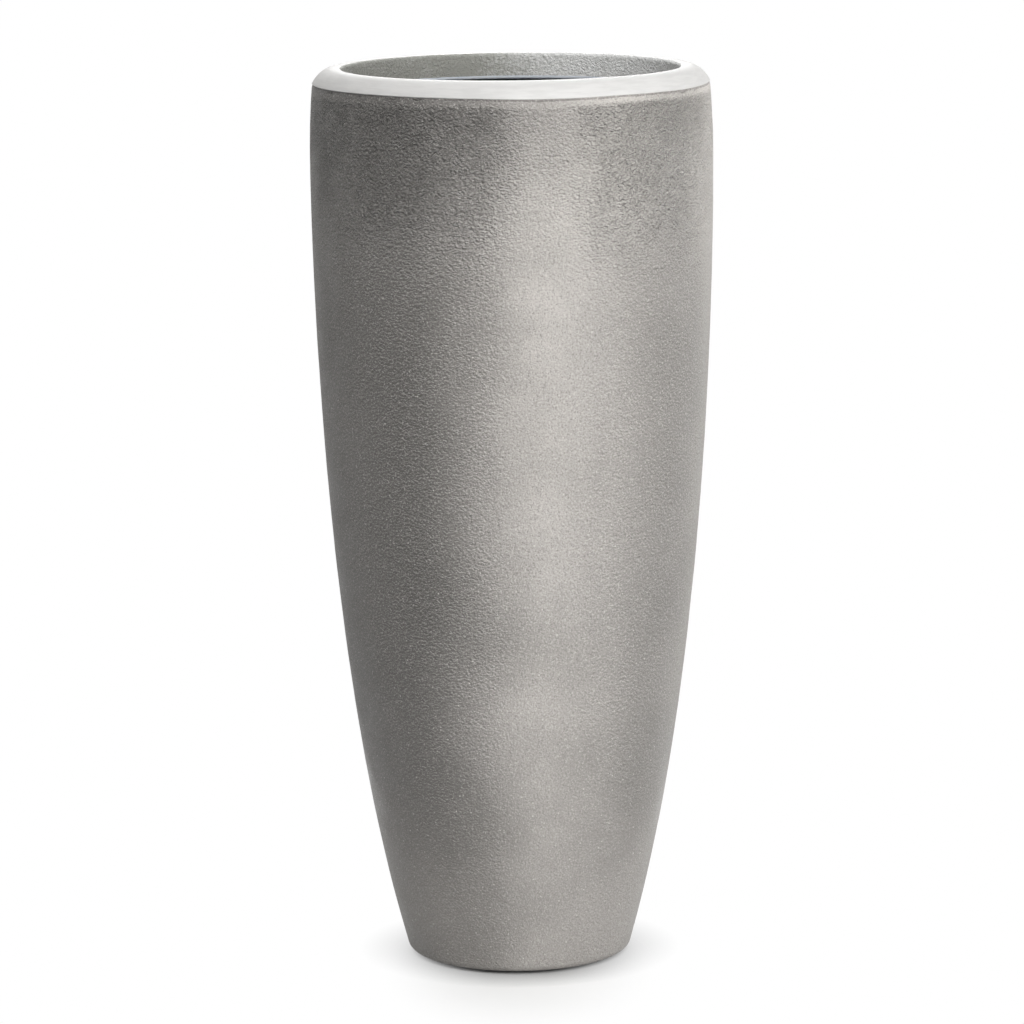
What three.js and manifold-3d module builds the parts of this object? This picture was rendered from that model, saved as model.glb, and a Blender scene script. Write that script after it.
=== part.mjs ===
// A tall round floor planter, moulded in glass-fibre composite with a stone-effect coat.
//
// The wall and the base are one moulding. A smooth pale rim ring is bonded on top of it, and turns
// down inside the mouth. A loose planting shelf drops in through the mouth and stands on three
// cleats, where the taper has narrowed to its own width. A rubber plug closes the drain hole in the
// base, and four rubber pads hold the base just clear of the floor.
//
// Millimetres, +Z up. The origin is on the floor, under the middle of the base.

import * as THREE from "three";
import { mergeVertices } from "three/addons/utils/BufferGeometryUtils.js";
import Module from "manifold-3d";

const wasm = await Module();
wasm.setup();

// Overall form
const height = 800; // floor to the top of the rim
const bellyRadius = 178.5; // the widest level, just under the shoulder
const bellyDrop = 68.5; // from the shoulder down to the widest level
const shoulderInset = 2.8; // how far the wall has drawn in again at the shoulder
const baseRadius = 99.5; // where the wall's line meets the underside
const baseFlare = THREE.MathUtils.degToRad(15.8); // lean of the wall at the base
const shoulderLean = THREE.MathUtils.degToRad(5.5); // the other way, at the shoulder
const flarePull = 272; // how far the base's lean carries up the wall
const bellyPull = 69; // how far the upright belly carries down the wall
const shoulderPull = 21; // the same for both ends of the wall above the belly

// Body shell
const wallThickness = 6;
const baseThickness = 8; // of the panel inside the foot ring
const heelRadius = 8; // outside, where the wall turns under
const coveRadius = 18; // inside, where the wall meets the base
const footRingWidth = 30;
const footRecess = 4; // height of the panel over the foot ring
const footDraft = 2; // run of the recess's sloping side
const baseFall = 3; // fall of the inside of the base, towards the drain
const edgeBevel = 0.8; // on both sides of the joint at the shoulder

// Rim ring
const rimWidth = 26.5; // across the top, from the shoulder in to the mouth
const rimRise = 13.8; // from the shoulder up to the top
const rimLand = 8.5; // flat on top, round the mouth
const rimSlope = THREE.MathUtils.degToRad(57); // steepness of the crown at the shoulder
const crownPull = 11; // how far that steepness carries
const landPull = 6; // how far the flat of the land carries into the crown
const lipRadius = 2; // between the land and the return
const crownThickness = 6;
const returnDepth = 22.5; // the part that turns down inside the mouth
const returnThickness = 5;
const skirtDepth = 30; // the hidden part that is bonded inside the wall
const skirtThickness = 4.5;
const bondGap = 0.3; // paste or adhesive between bonded pieces

// Planting shelf
const shelfPassing = 6; // room all round as the shelf goes through the mouth
const shelfGap = 1.5; // between the shelf and the wall, where it stands
const shelfPlate = 5;
const shelfDepth = 24; // of the turned-down edge
const shelfEdge = 4; // thickness of the turned-down edge
const shelfRounding = 3;
const hubRadius = 20;
const hubWall = 4;
const ribCount = 8;
const ribThickness = 3.2;
const ribDepth = 12;
const fingerHoleRadius = 13;
const fingerHoleSpread = 50; // from the axis
const drainHoleRadius = 6;
const innerHoleCircle = 80;
const outerHoleCircle = 118;
const innerHolesPerBay = 1;
const outerHolesPerBay = 2;

// Shelf cleats
const cleatCount = 3;
const cleatWidth = 30;
const cleatReach = 24; // in from the wall
const cleatHeight = 42;
const cleatNose = 9; // thickness at the inner end
const restGap = 0.3; // between pieces that stand on each other

// Drain plug
const drainRadius = 13; // at the underside
const drainTaper = 1.5; // wider at the inside by this much
const drainSeat = 24; // radius of the flat round the hole
const plugClearance = 0.3;
const plugTail = 1.5; // stands out below the panel
const plugFlange = 20;
const plugFlangeThickness = 3.5;
const plugNeck = 5.5;
const plugNeckHeight = 9;
const plugKnob = 10;
const plugKnobHeight = 7;
const plugRounding = 1.5;

// Foot pads
const padCount = 4;
const padRadius = 11;
const padStandoff = 2; // gap that the pads leave under the base
const padBevel = 0.5;

// Fineness of the faceted surfaces
const turnSteps = 64;
const smallTurnSteps = 24;
const holeSteps = 12;
const arcSteps = 4;
const wallSteps = 12;

// Levels and radii that follow from the sizes above
const shoulderLevel = height - rimRise;
const bellyLevel = shoulderLevel - bellyDrop;
const shoulderRadius = bellyRadius - shoulderInset;
const mouthRadius = shoulderRadius - rimWidth;
const underside = padStandoff;
const panelUnderside = underside + footRecess;
const seatLevel = panelUnderside + baseThickness;
const baseTop = seatLevel + baseFall;

const at = (radius, level) => new THREE.Vector2(radius, level);

// ---- Surfaces shared by the pieces ----

// The round between a flat floor and the wall's leaning line, which meet at (radius, level).
function rounding(radius, level, size) {
  const centre = at(
    radius + size * Math.tan(baseFlare) - size / Math.cos(baseFlare),
    level + size,
  );
  return new THREE.EllipseCurve(centre.x, centre.y, size, size, -Math.PI / 2, -baseFlare);
}

// A leaning curve between two points: each end sets off at its own lean from upright.
function sweep(from, lean, pull, to, endLean, endPull) {
  return new THREE.CubicBezierCurve(
    from,
    at(from.x + pull * Math.sin(lean), from.y + pull * Math.cos(lean)),
    at(to.x - endPull * Math.sin(endLean), to.y - endPull * Math.cos(endLean)),
    to,
  );
}

const heel = rounding(baseRadius, underside, heelRadius);
const lowerWall = sweep(
  heel.getPoint(1),
  baseFlare,
  flarePull,
  at(bellyRadius, bellyLevel),
  0,
  bellyPull,
);
const upperWall = sweep(
  at(bellyRadius, bellyLevel),
  0,
  shoulderPull,
  at(shoulderRadius, shoulderLevel),
  -shoulderLean,
  shoulderPull,
);

// The inside of the wall: the outside moved in, square to itself, by the wall's thickness.
function movedIn(curve, steps, distance) {
  const points = [];
  for (let i = 0; i <= steps; i++) {
    const along = curve.getUtoTmapping(i / steps);
    const tangent = curve.getTangent(along);
    const point = curve.getPoint(along);
    points.push(at(point.x - tangent.y * distance, point.y + tangent.x * distance));
  }
  return points;
}

function boreOutline() {
  const coveFoot =
    baseRadius +
    (baseTop - underside) * Math.tan(baseFlare) -
    wallThickness / Math.cos(baseFlare);
  const cove = rounding(coveFoot, baseTop, coveRadius).getPoints(arcSteps);
  const coveEnd = cove[cove.length - 1];
  const wall = [
    ...movedIn(lowerWall, wallSteps, wallThickness),
    ...movedIn(upperWall, arcSteps, wallThickness).slice(1, -1),
  ].filter((point) => point.y > coveEnd.y + heelRadius);
  const top = at(shoulderRadius - wallThickness / Math.cos(shoulderLean), shoulderLevel);
  return [...cove, ...wall, top];
}

const bore = boreOutline();

// Radius of the bore at a level, and the lowest level at which the bore has a radius.
function boreRadius(level) {
  const i = bore.findIndex((point) => point.y >= level);
  if (i < 0) return bore[bore.length - 1].x;
  if (i === 0) return bore[0].x;
  const share = (level - bore[i - 1].y) / (bore[i].y - bore[i - 1].y);
  return THREE.MathUtils.lerp(bore[i - 1].x, bore[i].x, share);
}

function boreLevel(radius) {
  const i = Math.max(1, bore.findIndex((point) => point.x >= radius));
  const share = (radius - bore[i - 1].x) / (bore[i].x - bore[i - 1].x);
  return THREE.MathUtils.lerp(bore[i - 1].y, bore[i].y, share);
}

// ---- Making solids ----

// A closed outline of (radius, level) points, anticlockwise, turned about the Z axis.
function revolve(outline, steps = turnSteps) {
  const onAxis = outline[0].x === 0;
  const points = onAxis ? outline : [...outline, outline[0].clone()];
  return new THREE.LatheGeometry(points, steps).rotateX(Math.PI / 2);
}

function toSolid(geometry) {
  const bare = geometry.clone();
  bare.deleteAttribute("normal");
  bare.deleteAttribute("uv");
  const merged = mergeVertices(bare, 1e-4);
  return new wasm.Manifold(
    new wasm.Mesh({
      numProp: 3,
      vertProperties: new Float32Array(merged.attributes.position.array),
      triVerts: new Uint32Array(merged.index.array),
    }),
  );
}

function toGeometry(solid) {
  const mesh = solid.getMesh();
  const geometry = new THREE.BufferGeometry();
  geometry.setAttribute("position", new THREE.BufferAttribute(mesh.vertProperties, 3));
  geometry.setIndex(new THREE.BufferAttribute(mesh.triVerts, 1));
  geometry.computeVertexNormals();
  return geometry;
}

// An upright round bar, standing at (radius, angle) from the axis, between two levels.
function bar(size, radius, angle, low, high, steps) {
  return new THREE.CylinderGeometry(size, size, high - low, steps)
    .rotateX(Math.PI / 2)
    .translate(radius, 0, (low + high) / 2)
    .rotateZ(angle);
}

// ---- Body shell ----

function bodyShell() {
  const ringInner = heel.getPoint(0).x - footRingWidth;
  return revolve([
    at(drainRadius, panelUnderside),
    at(ringInner - footDraft, panelUnderside),
    at(ringInner, underside),
    ...heel.getPoints(arcSteps),
    ...lowerWall.getSpacedPoints(wallSteps).slice(1),
    ...upperWall.getSpacedPoints(arcSteps).slice(1, -1),
    at(shoulderRadius, shoulderLevel - edgeBevel),
    at(shoulderRadius - edgeBevel, shoulderLevel),
    ...[...bore].reverse(),
    at(drainSeat, seatLevel),
    at(drainRadius + drainTaper, seatLevel),
  ]);
}

// ---- Rim ring ----

function rimRing() {
  const foot = shoulderLevel + bondGap;
  const crown = new THREE.CubicBezierCurve(
    at(shoulderRadius, foot + edgeBevel),
    at(
      shoulderRadius - crownPull * Math.cos(rimSlope),
      foot + edgeBevel + crownPull * Math.sin(rimSlope),
    ),
    at(mouthRadius + rimLand + landPull, height),
    at(mouthRadius + rimLand, height),
  );
  const lip = new THREE.EllipseCurve(
    mouthRadius + lipRadius,
    height - lipRadius,
    lipRadius,
    lipRadius,
    Math.PI / 2,
    Math.PI,
  );
  const edge = new THREE.EllipseCurve(
    mouthRadius + returnThickness / 2,
    height - returnDepth + returnThickness / 2,
    returnThickness / 2,
    returnThickness / 2,
    Math.PI,
    2 * Math.PI,
  );
  const skirtFoot = shoulderLevel - skirtDepth;
  const skirtOuter = [
    at(boreRadius(skirtFoot), skirtFoot),
    ...bore.filter((point) => point.y > skirtFoot),
    at(boreRadius(shoulderLevel), foot),
  ].map((point) => at(point.x - bondGap, point.y));
  const skirtInner = [skirtOuter[0], skirtOuter[skirtOuter.length - 1]].map(
    (point) => point.x - skirtThickness,
  );
  const hollowTop = height - crownThickness;
  return revolve([
    at(shoulderRadius - edgeBevel, foot),
    ...crown.getPoints(2 * arcSteps),
    ...lip.getPoints(arcSteps),
    ...edge.getPoints(arcSteps),
    at(mouthRadius + returnThickness, hollowTop),
    at(skirtInner[1], hollowTop - crownThickness),
    at(skirtInner[0], skirtFoot),
    ...skirtOuter,
  ]);
}

// ---- Planting shelf ----

const shelfRadius = mouthRadius - shelfPassing;
const shelfTop = boreLevel(shelfRadius + shelfGap);
const shelfFoot = shelfTop - shelfDepth;
const plateUnderside = shelfTop - shelfPlate;

function shelfPan() {
  const footRadius = boreRadius(shelfFoot) - shelfGap;
  const corner = new THREE.EllipseCurve(
    shelfRadius - shelfRounding,
    shelfTop - shelfRounding,
    shelfRounding,
    shelfRounding,
    0,
    Math.PI / 2,
  );
  const ribFoot = plateUnderside - ribDepth;
  return revolve([
    at(0, plateUnderside),
    at(hubRadius - hubWall, plateUnderside),
    at(hubRadius - hubWall, ribFoot),
    at(hubRadius, ribFoot),
    at(hubRadius, plateUnderside),
    at(shelfRadius - shelfEdge - shelfRounding, plateUnderside),
    at(shelfRadius - shelfEdge, plateUnderside - shelfRounding),
    at(footRadius - shelfEdge, shelfFoot),
    at(footRadius, shelfFoot),
    ...corner.getPoints(arcSteps),
    at(0, shelfTop),
  ]);
}

function plantingShelf() {
  const bay = (2 * Math.PI) / ribCount;
  const ribFoot = plateUnderside - ribDepth;
  const ribLength = shelfRadius - shelfEdge - shelfRounding - hubRadius + hubWall / 2;
  let shelf = toSolid(shelfPan());
  for (let i = 0; i < ribCount; i++) {
    // The ribs start half a bay round, which leaves the bays on the X axis for the finger holes.
    const rib = new THREE.BoxGeometry(ribLength, ribThickness, ribDepth + shelfPlate / 2)
      .translate(
        hubRadius - hubWall / 2 + ribLength / 2,
        0,
        ribFoot + (ribDepth + shelfPlate / 2) / 2,
      )
      .rotateZ((i + 0.5) * bay);
    shelf = shelf.add(toSolid(rib));
  }
  const drill = (size, radius, angle, steps) => {
    const low = ribFoot - shelfPlate;
    const high = shelfTop + shelfPlate;
    shelf = shelf.subtract(toSolid(bar(size, radius, angle, low, high, steps)));
  };
  for (const angle of [0, Math.PI]) {
    drill(fingerHoleRadius, fingerHoleSpread, angle, smallTurnSteps);
  }
  const holeCircle = (radius, holesPerBay) => {
    for (let i = 0; i < ribCount * holesPerBay; i++) {
      const angle = ((i + (holesPerBay === 1 ? 0 : 0.5)) * bay) / holesPerBay;
      drill(drainHoleRadius, radius, angle, holeSteps);
    }
  };
  holeCircle(innerHoleCircle, innerHolesPerBay);
  holeCircle(outerHoleCircle, outerHolesPerBay);
  return toGeometry(shelf);
}

// ---- Shelf cleats ----

// A cleat is a gusset that is drawn through the wall, and trimmed to the bore less the bond.
function shelfCleat(angle) {
  const top = shelfFoot - restGap;
  const wall = boreRadius(top);
  const low = top - cleatHeight;
  const side = new THREE.Shape()
    .moveTo(wall + wallThickness, top)
    .lineTo(wall - cleatReach + edgeBevel, top)
    .lineTo(wall - cleatReach, top - edgeBevel)
    .lineTo(wall - cleatReach, top - cleatNose)
    .quadraticCurveTo(boreRadius(low), top - cleatNose, boreRadius(low), low)
    .lineTo(wall + wallThickness, low);
  const gusset = new THREE.ExtrudeGeometry(side, {
    depth: cleatWidth,
    bevelEnabled: false,
    curveSegments: arcSteps,
  })
    .translate(0, 0, -cleatWidth / 2)
    .rotateX(Math.PI / 2);
  const space = revolve([
    at(0, bore[0].y),
    ...bore.map((point) => at(point.x - bondGap, point.y)),
    at(0, shoulderLevel),
  ]);
  // The bore's facets start at angle 0, so the gusset is turned first and trimmed after.
  const trimmed = toSolid(gusset.rotateZ(angle)).intersect(toSolid(space));
  return toGeometry(trimmed);
}

// ---- Drain plug ----

function drainPlug() {
  const flangeFoot = seatLevel + restGap;
  const flangeTop = flangeFoot + plugFlangeThickness;
  const knobFoot = flangeTop + plugNeckHeight;
  const knobTop = knobFoot + plugKnobHeight;
  const slope = drainTaper / baseThickness;
  const stem = (level) => drainRadius - plugClearance + slope * (level - panelUnderside);
  const tail = panelUnderside - plugTail;
  const rounded = (radius, level, from) =>
    new THREE.EllipseCurve(
      radius - plugRounding,
      level,
      plugRounding,
      plugRounding,
      from,
      from + Math.PI / 2,
    ).getPoints(arcSteps - 1);
  return revolve(
    [
      at(0, tail),
      ...rounded(stem(tail), tail + plugRounding, -Math.PI / 2),
      at(stem(seatLevel), seatLevel),
      at(stem(seatLevel), flangeFoot),
      at(plugFlange, flangeFoot),
      ...rounded(plugFlange, flangeTop - plugRounding, 0),
      at(plugNeck, flangeTop + plugRounding),
      at(plugNeck, knobFoot),
      ...rounded(plugKnob, knobFoot + plugRounding, -Math.PI / 2),
      ...rounded(plugKnob, knobTop - plugRounding, 0),
      at(0, knobTop),
    ],
    smallTurnSteps,
  );
}

// ---- Foot pads ----

function footPad(angle) {
  const ringMiddle = heel.getPoint(0).x - footRingWidth / 2;
  const top = underside - bondGap;
  return revolve(
    [
      at(0, 0),
      at(padRadius - padBevel, 0),
      at(padRadius, padBevel),
      at(padRadius, top),
      at(0, top),
    ],
    smallTurnSteps,
  )
    .translate(ringMiddle, 0, 0)
    .rotateZ(angle);
}

// ---- Materials ----

function finish(color, roughness) {
  return new THREE.MeshStandardMaterial({ color, roughness, metalness: 0 });
}

const stoneCoat = finish("#8f8b87", 0.85);
const smoothCoat = finish("#dcdbd8", 0.7);
const darkLaminate = finish("#3c3b39", 0.6);
const shelfPlastic = finish("#2f2f2e", 0.55);
const blackRubber = finish("#1f1f1f", 0.8);

// ---- Assembly ----

const planter = new THREE.Group();

function place(name, geometry, material) {
  const mesh = new THREE.Mesh(geometry, material);
  mesh.name = name;
  planter.add(mesh);
}

place("body_shell", bodyShell(), stoneCoat);
place("rim_ring", rimRing(), smoothCoat);
place("planting_shelf", plantingShelf(), shelfPlastic);
place("drain_plug", drainPlug(), blackRubber);
for (let i = 0; i < cleatCount; i++) {
  const angle = Math.PI / 2 + (i * 2 * Math.PI) / cleatCount;
  place(`shelf_cleat_${i + 1}`, shelfCleat(angle), darkLaminate);
}
for (let i = 0; i < padCount; i++) {
  const angle = ((i + 0.5) * 2 * Math.PI) / padCount;
  place(`foot_pad_${i + 1}`, footPad(angle), blackRubber);
}

export default planter;
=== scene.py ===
import math
import random

import bpy
from mathutils import Matrix, Vector, noise


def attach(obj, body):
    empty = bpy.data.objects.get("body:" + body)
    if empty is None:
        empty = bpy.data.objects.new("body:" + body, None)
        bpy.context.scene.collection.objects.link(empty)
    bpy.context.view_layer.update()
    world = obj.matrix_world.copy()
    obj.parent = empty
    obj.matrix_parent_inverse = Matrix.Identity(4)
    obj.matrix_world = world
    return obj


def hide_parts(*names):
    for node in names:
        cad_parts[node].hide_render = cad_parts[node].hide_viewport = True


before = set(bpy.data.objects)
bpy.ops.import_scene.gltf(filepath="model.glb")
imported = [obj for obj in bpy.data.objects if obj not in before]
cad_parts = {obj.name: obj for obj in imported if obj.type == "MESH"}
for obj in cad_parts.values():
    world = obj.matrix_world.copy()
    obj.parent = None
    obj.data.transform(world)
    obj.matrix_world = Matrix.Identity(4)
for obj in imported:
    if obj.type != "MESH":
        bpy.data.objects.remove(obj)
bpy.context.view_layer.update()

mm = 0.001


def srgb(hexColour):
    # sRGB hex to the linear values that sockets take
    channels = [int(hexColour[i:i + 2], 16) / 255 for i in (1, 3, 5)]
    linear = [c / 12.92 if c <= 0.04045 else ((c + 0.055) / 1.055) ** 2.4 for c in channels]
    return (*linear, 1.0)


# settings that many nodes share
smooth = {"interpolation_type": "SMOOTHSTEP"}
inColour = {"data_type": "RGBA"}


def add(tree, kind, inputs=(), out=None, stops=(), **settings):
    # one node with its settings and links; inputs go to the sockets in use, in order or by name,
    # and stops are a ramp's (place, grey) from 0 to 1
    made = tree.nodes.new("ShaderNode" + kind)
    for key, value in settings.items():
        setattr(made, key, value)
    if stops:
        made.color_ramp.interpolation = "CARDINAL"
        points = made.color_ramp.elements
        for place, grey in stops[1:-1]:
            points.new(place).color = (grey, grey, grey, 1)
        for end in (0, -1):
            points[end].color = (*[stops[end][1]] * 3, 1)
    used = [socket for socket in made.inputs if socket.enabled]
    for key, value in inputs.items() if isinstance(inputs, dict) else enumerate(inputs):
        socket = made.inputs[key] if isinstance(key, str) else used[key]
        if isinstance(value, bpy.types.NodeSocket):
            tree.links.new(value, socket)
        else:
            socket.default_value = value
    if out == "all":
        return made.outputs
    return made.outputs[out] if out else next((socket for socket in made.outputs if socket.enabled), None)


def newMaterial(name):
    material = bpy.data.materials.new(name)
    material.use_nodes = True
    material.node_tree.nodes.clear()
    tree = material.node_tree
    return material, tree, add(tree, "TexCoord", out="Object")


def finished(material, tree, look, colour, rough, normal):
    # every finish here ends in the same plain shader
    shader = add(tree, "BsdfPrincipled", {
        "Base Color": colour, "Roughness": rough, "IOR": look["ior"], "Normal": normal})
    add(tree, "OutputMaterial", {"Surface": shader})
    return material


# Stone-effect coat: polyester resin filled with mineral sand, sprayed on and rolled down.
# It gives the eye a gritty warm-grey skin, cloudy where the spray lay thicker, with darker pits between the
# grains.
# Painted light and shade are in its colour too: a bright front band and a lighter right-hand top, a darker
# left side, darker and paler levels, and pale tops and dark undersides on the grains.
stoneCoat = {
    "colour": "#B3AFAA",
    "cloudDark": "#A5A19C",
    "cloudPale": "#C5C0BB",
    "pit": "#5E5B57",
    "fleck": "#D3D0CA",
    "cloudSize": 120 * mm,  # thick and thin patches of coat
    "patchSize": 30 * mm,
    "grainSize": 2.6 * mm,  # rolled-down drops of coat, 4 to 5 mm from top to top
    "grainSquash": (1.05, 1.05, 1.25),  # they have slumped a little
    "sandSize": 1.6 * mm,  # 0.5 mm sand, drawn coarser so that it shows
    "fleckSize": 3.2 * mm,
    "grainHeight": 4.6 * mm,  # deeper than the real 0.5 mm, so that the relief shows at this distance
    "sandHeight": 0.8 * mm,
    "roughness": (0.5, 0.64),
    "ior": 1.5,  # cured polyester resin

    # a group of four is (from, to, share at the first, share at the second)
    # what the depth of the grain goes by
    "grainByTop": (0.6, 0.745, 0.31, 1.25),  # full in the top band, a quarter of that below it
    "grainByBearingLight": (0.75, 0.97, 1.7, 0.56),  # deeper grain where the painted light by bearing is darker
    "grainByFoot": (0.08, 0.3, 0.6, 1.0),
    "grainByBack": (-0.1, 0, 1.0, 0.5),  # the back is rolled flatter
    "grainByBand": (0.776, 0.782, 1.0, 0.2),  # trowelled smooth under the rim
    "grainByPatch": (0.3, 0.7, 0.7, 1.2),

    # painted light by bearing, a bright front band as painted sheen and a darker left side as painted shade:
    # (bearing from the front in degrees, share of the full colour)
    "lightByBearing": [(-180, 0.62), (-152, 0.7), (-122, 0.5), (-95, 0.46), (-74, 0.265), (-64, 0.265),
               (-53, 0.275), (-44, 0.265), (-35, 0.27), (-27, 0.345), (-20, 0.485), (-12, 0.645),
               (-4, 0.84), (6, 0.99), (15, 0.965), (24, 0.84), (33, 0.755), (44, 0.58), (55, 0.555),
               (66, 0.68), (76, 0.77), (95, 0.72), (122, 0.58), (150, 0.7), (180, 0.62)],
    "lightWander": 0.07,
    "bearingLightFade": (0.05, 0.26, 0.1, 1.0),  # the painted light by bearing thins out to an even colour at the foot
    "bearingLightFoot": 0.47,  # that even colour
    # painted light and shade by height, paler at the foot and near the top and darker in the lower middle:
    # (metres up, share of the peak below)
    "levels": [(0, 1.0), (0.05, 0.98), (0.1, 0.85), (0.17, 0.67), (0.25, 0.62), (0.35, 0.63),
               (0.45, 0.7), (0.6, 0.76), (0.7, 0.86), (0.8, 0.8)],
    "levelShadePeak": 1.25,

    "underRimBand": (0.69, 0.768, 1.0, 0.6),  # a darker band just under the rim
    "underRimWander": (0.3, 0.7, -0.012, 0.012),
    "underRimLine": (0.774, 0.78, 1.0, 1.15),
    "litSideSpared": (-0.02, 0.13, 0.0, 0.85),  # painted light: the lit right side is spared most of that darker band
    "rightTopLight": 1.85,  # and the top of that side is painted lighter still
    "rightTopLightSide": (0.03, 0.12), "rightTopLightLevel": (0.62, 0.75),
    "cloudMix": 0.35,  # how far the plain colour evens out the clouds
    "dullPatch": (0.3, 0.7, 0.1, 0.0),
    "sandByFoot": (0.1, 0.35, 0.7, 1.0),  # the foot is sprayed finer
    "darkSand": (0.28, 0.49, 0.56, 0.0),
    "paleSand": (0.52, 0.7, 0.0, 0.4),
    "fleckCell": (0.15, 0.28, 1.0, 0.0),
    "fleckPick": (0.91, 0.95, 0.0, 0.6),
    "dustAndTopLight": (0.0, 0.6, 0.0, 0.34),  # painted light: paler on the upward sides of the grains
    "shade": (-0.6, 0.0, 0.4, 0.0),  # painted shade under them
}


def coatNoises(tree, where, look):
    # clouds, patches, grain and sand: the noises that the coat is made of
    squashed = add(tree, "Mapping", {"Vector": where, "Scale": look["grainSquash"]})
    return [add(tree, "TexNoise", {
        "Vector": place, "Scale": 1 / look[size], "Detail": detail, "Roughness": roughness,
        "Distortion": distortion}) for place, size, detail, roughness, distortion in (
            (where, "cloudSize", 2.0, 0.45, 0.0), (where, "patchSize", 4.0, 0.6, 0.0),
            (squashed, "grainSize", 2.0, 0.5, 0.35), (where, "sandSize", 2.0, 0.7, 0.0))]


def paintedLightByBearing(tree, side, depth, clouds, look):
    # painted light and shade: the bearing round the planter, made wavy by the clouds, picks a brightness off
    # a ramp
    front = add(tree, "Math", (depth, -1.0), operation="MULTIPLY")
    bearing = add(tree, "Math", (side, front), operation="ARCTAN2")
    wander = look["lightWander"]
    off = add(tree, "MapRange", (clouds, 0.25, 0.75, -wander, wander))
    wavy = add(tree, "Math", (bearing, off), operation="ADD")
    turn = add(tree, "MapRange", (wavy, -math.pi, math.pi, 0, 1))
    return add(tree, "ValToRGB", (turn,), stops=[((at + 180) / 360, grey) for at, grey in look["lightByBearing"]])


def coatRelief(tree, level, depth, coat, patches, grain, sand, look):
    # rolled-down grain, and sand on top of it
    strength = add(tree, "MapRange", (level, *look["grainByTop"]), **smooth)
    # coat is the painted light by bearing
    for value, key, kind in ((coat, "grainByBearingLight", {}), (level, "grainByFoot", smooth),
                             (depth, "grainByBack", smooth), (level, "grainByBand", smooth),
                             (patches, "grainByPatch", {})):
        share = add(tree, "MapRange", (value, *look[key]), **kind)
        strength = add(tree, "Math", (strength, share), operation="MULTIPLY")
    coarse = add(tree, "Bump", {"Strength": strength, "Distance": look["grainHeight"], "Height": grain})
    fine = add(tree, "Bump", {
        "Strength": 1.0, "Distance": look["sandHeight"], "Height": sand, "Normal": coarse})
    return coarse, fine


def underRimBandAndPaintedLight(tree, side, level, patches, look):
    # a darker band under the rim, painted light on the right side and its top, and painted light and shade
    # by height, as one share of the colour
    # a darker band under the rim that wanders with the patches, lighter at the joint line
    wander = add(tree, "MapRange", (patches, *look["underRimWander"]))
    wavy = add(tree, "Math", (level, wander), operation="ADD")
    bandAndLight = add(tree, "MapRange", (wavy, *look["underRimBand"]), **smooth)
    line = add(tree, "MapRange", (level, *look["underRimLine"]), **smooth)
    bandAndLight = add(tree, "Math", (bandAndLight, line), operation="MULTIPLY")
    # painted light: the right side keeps out of the band, and its top is lighter still
    rightLit = add(tree, "MapRange", (side, *look["litSideSpared"]), **smooth)
    bandAndLight = add(tree, "Mix", (rightLit, bandAndLight, 1.0), data_type="FLOAT")
    over = add(tree, "MapRange", (side, *look["rightTopLightSide"]), **smooth)
    up = add(tree, "MapRange", (level, *look["rightTopLightLevel"]), **smooth)
    rightTopLit = add(tree, "Math", (over, up), operation="MULTIPLY")
    rightTopLit = add(tree, "MapRange", (rightTopLit, 0.0, 1.0, 1.0, look["rightTopLight"]))
    # painted light and shade by height
    top = look["levels"][-1][0]
    height = add(tree, "Math", (level, top), operation="DIVIDE")
    pale = add(tree, "ValToRGB", (height,), stops=[(up / top, grey) for up, grey in look["levels"]])
    pale = add(tree, "Math", (pale, look["levelShadePeak"]), operation="MULTIPLY")
    for share in (rightTopLit, pale):
        bandAndLight = add(tree, "Math", (bandAndLight, share), operation="MULTIPLY")
    return add(tree, "CombineColor", (bandAndLight, bandAndLight, bandAndLight))


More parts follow.
